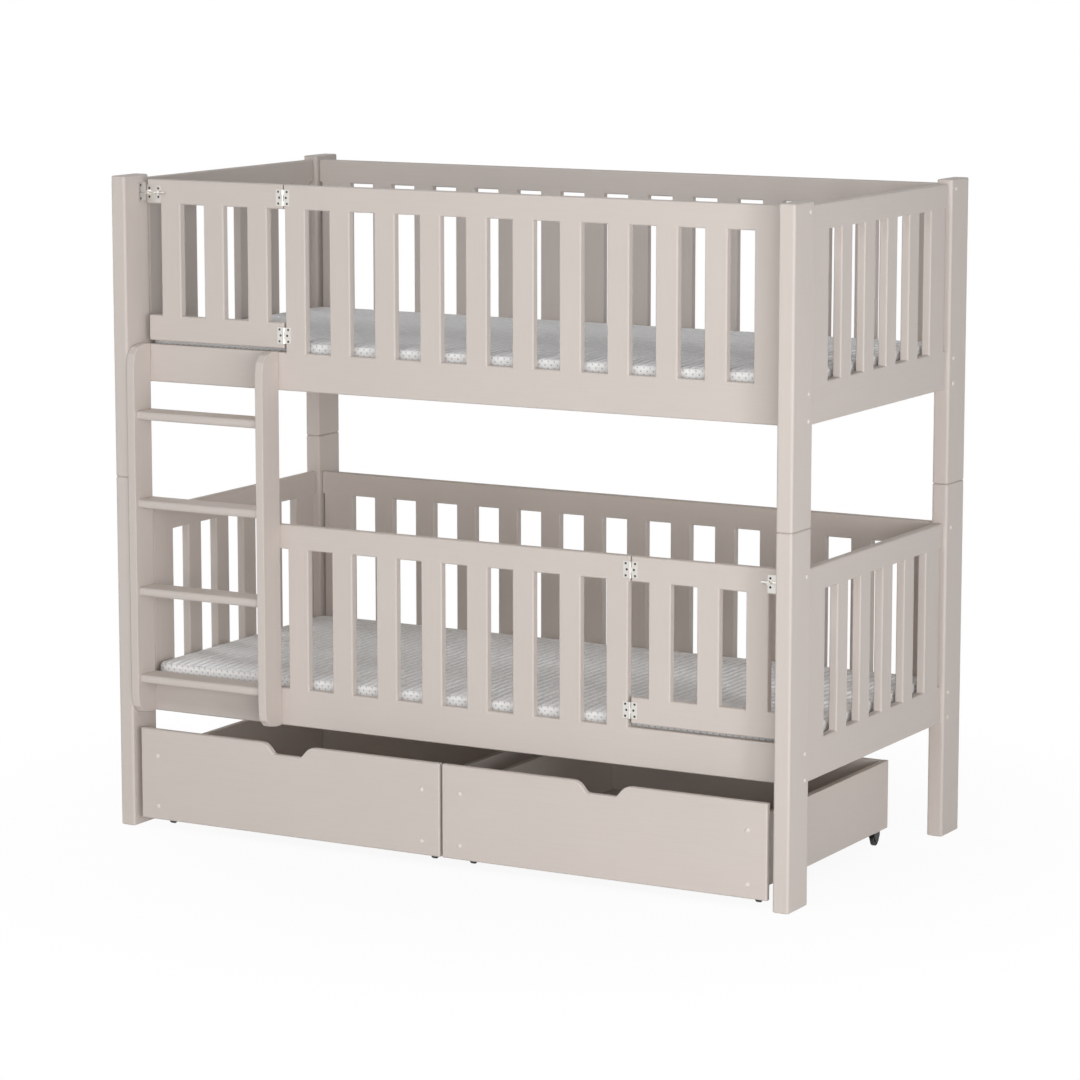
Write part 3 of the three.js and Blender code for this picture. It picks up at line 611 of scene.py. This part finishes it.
def latch_screws(tier, hand, body):
    """Four screws in the latch plate and two in the keeper on the post."""
    low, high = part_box(f"{tier}_latch_plate")
    face = high.y / MM - SHEET
    plate = [
        placed(screw(), "-y", x, face, z)
        for x in (low.x / MM + LATCH_SCREW_END_INSET, high.x / MM - LATCH_SCREW_END_INSET)
        for z in (low.z / MM + LATCH_SCREW_FOOT_INSET, high.z / MM - LATCH_SCREW_HEAD_INSET)
    ]
    name = f"{tier}_latch_plate_screws"
    show(name, mesh_of(name, joined(plate), SCREW_STEEL), body)
    low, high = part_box(f"{tier}_latch_keeper")
    x = (low.x if hand > 0 else high.x) / MM
    aim = "-x" if hand > 0 else "+x"
    y = low.y / MM + 1.5 * KEEPER_LEAD
    heights = (low.z / MM + KEEPER_SCREW_INSET, high.z / MM - KEEPER_SCREW_INSET)
    keeper = [placed(screw(), aim, x, y, z) for z in heights]
    name = f"{tier}_latch_keeper_screws"
    show(name, mesh_of(name, joined(keeper), SCREW_STEEL), "bed_frame")


def dress_hardware():
    for tier, hand in (("lower", 1), ("upper", -1)):
        for level in ("top", "bottom"):
            for leaf in ("gate", "frame"):
                metal(f"{tier}_{level}_hinge_{leaf}_leaf")
        for part in ("plate", "bolt", "keeper"):
            metal(f"{tier}_latch_{part}")
        hinge_screws(tier, "gate", f"{tier}_gate")
        hinge_screws(tier, "frame", "bed_frame")
        latch_screws(tier, hand, f"{tier}_gate")


def wheels():
    """Castor wheels: a rounded tread, a web dished on both sides, a hub and the axle, turned about X."""
    half = [
        (0, AXLE_HALF), (AXLE_RADIUS - 0.2, AXLE_HALF), (AXLE_RADIUS, AXLE_HALF - 0.3),
        (AXLE_RADIUS, WHEEL_HALF), (4.2, WHEEL_HALF), (4.6, WHEEL_HALF - 0.4), (5, WHEEL_HALF - 2.2),
        (10.6, WHEEL_HALF - 2.2), (11.2, WHEEL_HALF - 0.4), (11.8, WHEEL_HALF), (13, WHEEL_HALF),
        (14, WHEEL_HALF - 0.5), (WHEEL_RADIUS, WHEEL_HALF - 1.4),
    ]
    profile = [(radius, -height) for radius, height in half] + half[::-1]
    shape = turned(profile, 48)
    for drawer in SIDES:
        for depth in DEPTHS:
            for side in SIDES:
                node = f"{drawer}_drawer_wheel_{depth}_{side}"
                low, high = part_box(node)
                middle = (low + high) / 2 / MM
                mesh = mesh_of(node, placed(shape, "+x", *middle), NYLON)
                show(node + "_turned", mesh, node, [node])


# Mattresses


def mattress_shape(length, width, low, high):
    """A closed pad as one sheet of quads: top grid, side bands, bottom grid.

    Returns its points in mm, its faces, a 1 for each face in the side bands, and the rim's point numbers.

    The grids are rectangles whose corner squares are pressed into quarter discs, a, b to
    a sqrt(1 - b^2 / 2), b sqrt(1 - a^2 / 2). The bands carry the grid's rim outwards along its normals by an
    offset: round the top edge on a quarter circle, down the side, which draws in between its corners, and
    round the foot."""
    cells_x, cells_y = MATTRESS_TOP_CELLS
    half_x, half_y = length / 2 - MATTRESS_EDGE, width / 2 - MATTRESS_EDGE
    corner = MATTRESS_CORNER - MATTRESS_EDGE
    u, v = np.meshgrid(np.linspace(-1, 1, cells_x + 1) * half_x, np.linspace(-1, 1, cells_y + 1) * half_y,
                       indexing="ij")
    a = np.clip((abs(u) - (half_x - corner)) / corner, 0, 1)
    b = np.clip((abs(v) - (half_y - corner)) / corner, 0, 1)
    x = np.sign(u) * (np.minimum(abs(u), half_x - corner) + corner * a * np.sqrt(1 - b ** 2 / 2))
    y = np.sign(v) * (np.minimum(abs(v), half_y - corner) + corner * b * np.sqrt(1 - a ** 2 / 2))
    number = np.arange(x.size).reshape(x.shape)
    rim = np.concatenate([
        number[:-1, 0], number[-1, :-1], number[:0:-1, -1], number[0, :0:-1],
    ])
    rim_x, rim_y = x.ravel()[rim], y.ravel()[rim]
    core_x = np.clip(rim_x, corner - half_x, half_x - corner)
    core_y = np.clip(rim_y, corner - half_y, half_y - corner)
    out_x, out_y = (rim_x - core_x) / corner, (rim_y - core_y) / corner
    draw = (1 - (rim_x / half_x) ** 2) * (abs(out_y) > 0.99)
    draw += (1 - (rim_y / half_y) ** 2) * (abs(out_x) > 0.99)

    turn = np.radians(MATTRESS_EDGE_TURNS)
    offsets = MATTRESS_EDGE * np.sin(turn)
    drops = MATTRESS_EDGE * (1 - np.cos(turn))
    side = np.linspace(high - MATTRESS_EDGE, low + MATTRESS_EDGE, MATTRESS_SIDE_ROWS + 2)[1:-1]
    heights = np.concatenate([high - drops, side, (low + drops)[::-1]])
    offset = np.concatenate([offsets, np.full(len(side), MATTRESS_EDGE), offsets[::-1]])
    waist = np.sin(np.pi * (heights - low) / (high - low))
    reach = offset[:, None] - MATTRESS_SIDE_DRAW * draw * waist[:, None]
    bands = np.stack([
        rim_x + out_x * reach, rim_y + out_y * reach, np.broadcast_to(heights[:, None], reach.shape),
    ], axis=-1).reshape(-1, 3)

    flat = np.stack([x.ravel(), y.ravel()], axis=-1)
    top = np.column_stack([flat, np.full(len(flat), high)])
    bottom = np.column_stack([flat, np.full(len(flat), low)])
    points = np.concatenate([top, bands, bottom])

    def grid(first, flip):
        cell = np.stack([number[:-1, :-1], number[1:, :-1], number[1:, 1:], number[:-1, 1:]], axis=-1)
        cell = cell.reshape(-1, 4) + first
        return cell[:, ::-1] if flip else cell

    loops = [rim] + [x.size + level * len(rim) + np.arange(len(rim)) for level in range(len(heights))]
    loops.append(rim + x.size + len(bands))
    walls = [
        np.stack([lower, np.roll(lower, -1), np.roll(upper, -1), upper], axis=-1)
        for upper, lower in zip(loops, loops[1:])
    ]
    faces = np.concatenate([grid(0, False), *walls, grid(x.size + len(bands), True)])
    is_wall = np.zeros(len(faces), int)
    is_wall[cells_x * cells_y:len(faces) - cells_x * cells_y] = 1
    return points, faces, is_wall, rim


def swell(points, faces, limit):
    """Blows the pad up as cloth without gravity. No point moves further than limit, in metres."""
    mesh = bpy.data.meshes.new("pad")
    mesh.from_pydata(points.tolist(), [], faces.tolist())
    before = np.empty(len(mesh.vertices) * 3)
    mesh.vertices.foreach_get("co", before)
    pad = bpy.data.objects.new("swelling_pad", mesh)
    bpy.context.scene.collection.objects.link(pad)
    cloth = pad.modifiers.new("Cloth", "CLOTH")
    cloth.settings.use_pressure = True
    cloth.settings.uniform_pressure_force = SWELL_PRESSURE
    cloth.settings.effector_weights.gravity = 0
    scene = bpy.context.scene
    for number in range(1, SWELL_FRAMES + 1):
        scene.frame_set(number)
    view = bpy.context.evaluated_depsgraph_get()
    blown = pad.evaluated_get(view).to_mesh()
    after = np.empty(len(before))
    blown.vertices.foreach_get("co", after)
    pad.evaluated_get(view).to_mesh_clear()
    scene.frame_set(1)
    bpy.data.objects.remove(pad)
    move = (after - before).reshape(-1, 3)
    distance = np.linalg.norm(move, axis=1, keepdims=True)
    move *= np.minimum(1, limit / np.maximum(distance, 1e-9))
    return before.reshape(-1, 3) + move


def mattresses():
    """Both mattresses: one pad is blown up as cloth, then drawn in at its top seam, and stands twice."""
    low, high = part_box("lower_mattress")
    middle = (low + high) / 2
    length, width = (high.x - low.x) / MM, (high.y - low.y) / MM
    crown = high.z / MM - MATTRESS_SWELL - MATTRESS_TRIM
    points, faces, is_wall, rim = mattress_shape(
        length - MATTRESS_TRIM, width - MATTRESS_TRIM, low.z / MM, crown,
    )
    points = (points + np.array([middle.x / MM, middle.y / MM, 0])) * MM
    points = swell(points, faces, MATTRESS_SWELL * MM)
    points = np.clip(points, np.array(low), np.array(high))
    points[rim, 2] -= MATTRESS_SEAM * MM
    mesh = bpy.data.meshes.new("mattress")
    mesh.from_pydata(points.tolist(), [], faces.tolist())
    mesh.materials.append(KNIT)
    mesh.materials.append(BORDER)
    mesh.polygons.foreach_set("material_index", is_wall.astype(np.int32))
    mesh.polygons.foreach_set("use_smooth", np.ones(len(mesh.polygons), bool))
    mesh.update()
    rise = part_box("upper_mattress")[0].z - low.z
    for tier in TIERS:
        own = mesh.copy()
        own.transform(Matrix.Translation((0, 0, rise if tier == "upper" else 0)))
        piece = show(f"{tier}_mattress_cover", own, "bed_frame", [f"{tier}_mattress"])
        smooth = piece.modifiers.new("Smooth", "SUBSURF")
        smooth.levels = 1
        smooth.render_levels = 1


# Floor, light and camera


def seen_directly(tree):
    """1 where the camera, a reflection or a refraction looks, 0 for the light that falls on the bed."""
    path = add(tree, "LightPath")
    seen = add(tree, "Math", {
        0: path.outputs["Is Camera Ray"], 1: path.outputs["Is Glossy Ray"],
    }, operation="MAXIMUM")
    seen = add(tree, "Math", {
        0: seen.outputs["Value"], 1: path.outputs["Is Transmission Ray"],
    }, operation="MAXIMUM")
    return seen.outputs["Value"]


def studio():
    """A pale floor and backdrop that the camera sees as white, apart from the shadow, and soft lamps."""
    span = 40
    mesh = bpy.data.meshes.new("floor")
    mesh.from_pydata(
        [(-span, -span, 0), (span, -span, 0), (span, span, 0), (-span, span, 0)], [], [(0, 1, 2, 3)],
    )
    floor = bpy.data.objects.new("floor", mesh)
    bpy.context.scene.collection.objects.link(floor)
    material, tree, shader, position = start("matt_white_studio_floor")
    haze = add(tree, "TexNoise", {"Vector": position, "Scale": 0.8, "Detail": 2.0})
    colour = blend_colours(tree, haze.outputs["Fac"], "F7F7F7", "FBFBFB")
    tree.links.new(colour, shader.inputs["Base Color"])
    shader.inputs["Roughness"].default_value = 0.9
    glow = add(tree, "Emission", {"Strength": 1.0, "Color": (1, 1, 1, 1)})
    reach = add(tree, "VectorMath", {0: position}, operation="LENGTH")
    fade = add(tree, "MapRange", {
        "Value": reach.outputs["Value"], "From Min": 0.7, "From Max": 1.8, "To Min": 0.92, "To Max": 1.0,
    })
    share = add(tree, "Math", {0: seen_directly(tree), 1: fade.outputs["Result"]}, operation="MULTIPLY")
    mixed = add(tree, "MixShader", {
        0: share.outputs["Value"], 1: shader.outputs["BSDF"], 2: glow.outputs["Emission"],
    })
    tree.links.new(mixed.outputs["Shader"], tree.nodes["Material Output"].inputs["Surface"])
    mesh.materials.append(material)

    world = bpy.data.worlds.new("studio")
    bpy.context.scene.world = world
    world.use_nodes = True
    tree = world.node_tree
    sky = tree.nodes["Background"]
    sky.inputs["Color"].default_value = (1, 1, 1, 1)
    strength = add(tree, "MapRange", {"Value": seen_directly(tree), "To Min": 0.21, "To Max": 1.0})
    tree.links.new(strength.outputs["Result"], sky.inputs["Strength"])

    lamp("key", (38, 6), 11, (8.0, 3.0), 510)
    lamp("edge strip", (60, 3), 5, (0.6, 2.4), 42)
    lamp("front top", (-5, 46), 13, (7.0, 4.0), 450)
    lamp("back", (245, 8), 12, (4.5, 3.0), 700)


def lamp(name, direction, distance, size, watts):
    """A soft box that faces the middle of the bed.

    Its direction is its azimuth, round from the front towards +X, and its height angle, in degrees."""
    azimuth, height = np.radians(direction)
    level = math.cos(height)
    towards = Vector((math.sin(azimuth) * level, -math.cos(azimuth) * level, math.sin(height)))
    light = bpy.data.lights.new(name, "AREA")
    light.shape = "RECTANGLE"
    light.size, light.size_y = size
    light.energy = watts
    obj = bpy.data.objects.new(name, light)
    obj.location = Vector((0, 0, 0.8)) + distance * towards
    obj.rotation_euler = towards.to_track_quat("Z", "Y").to_euler()
    bpy.context.scene.collection.objects.link(obj)


def camera():
    """The photograph's view: 29 degrees round to the right, 9 degrees down, from about 10 m."""
    data = bpy.data.cameras.new("camera")
    data.sensor_width = 36
    data.lens = 132.896
    obj = bpy.data.objects.new("camera", data)
    obj.location = (4.8038, -8.5790, 2.3251)
    obj.rotation_euler = (math.radians(90 - 9.1946), 0, math.radians(29.221))
    bpy.context.scene.collection.objects.link(obj)
    bpy.context.scene.camera = obj


camera()
dress_boards()
dress_drawers()
post_caps()
dress_hardware()
wheels()
mattresses()
studio()
bpy.context.scene.view_settings.view_transform = "Standard"
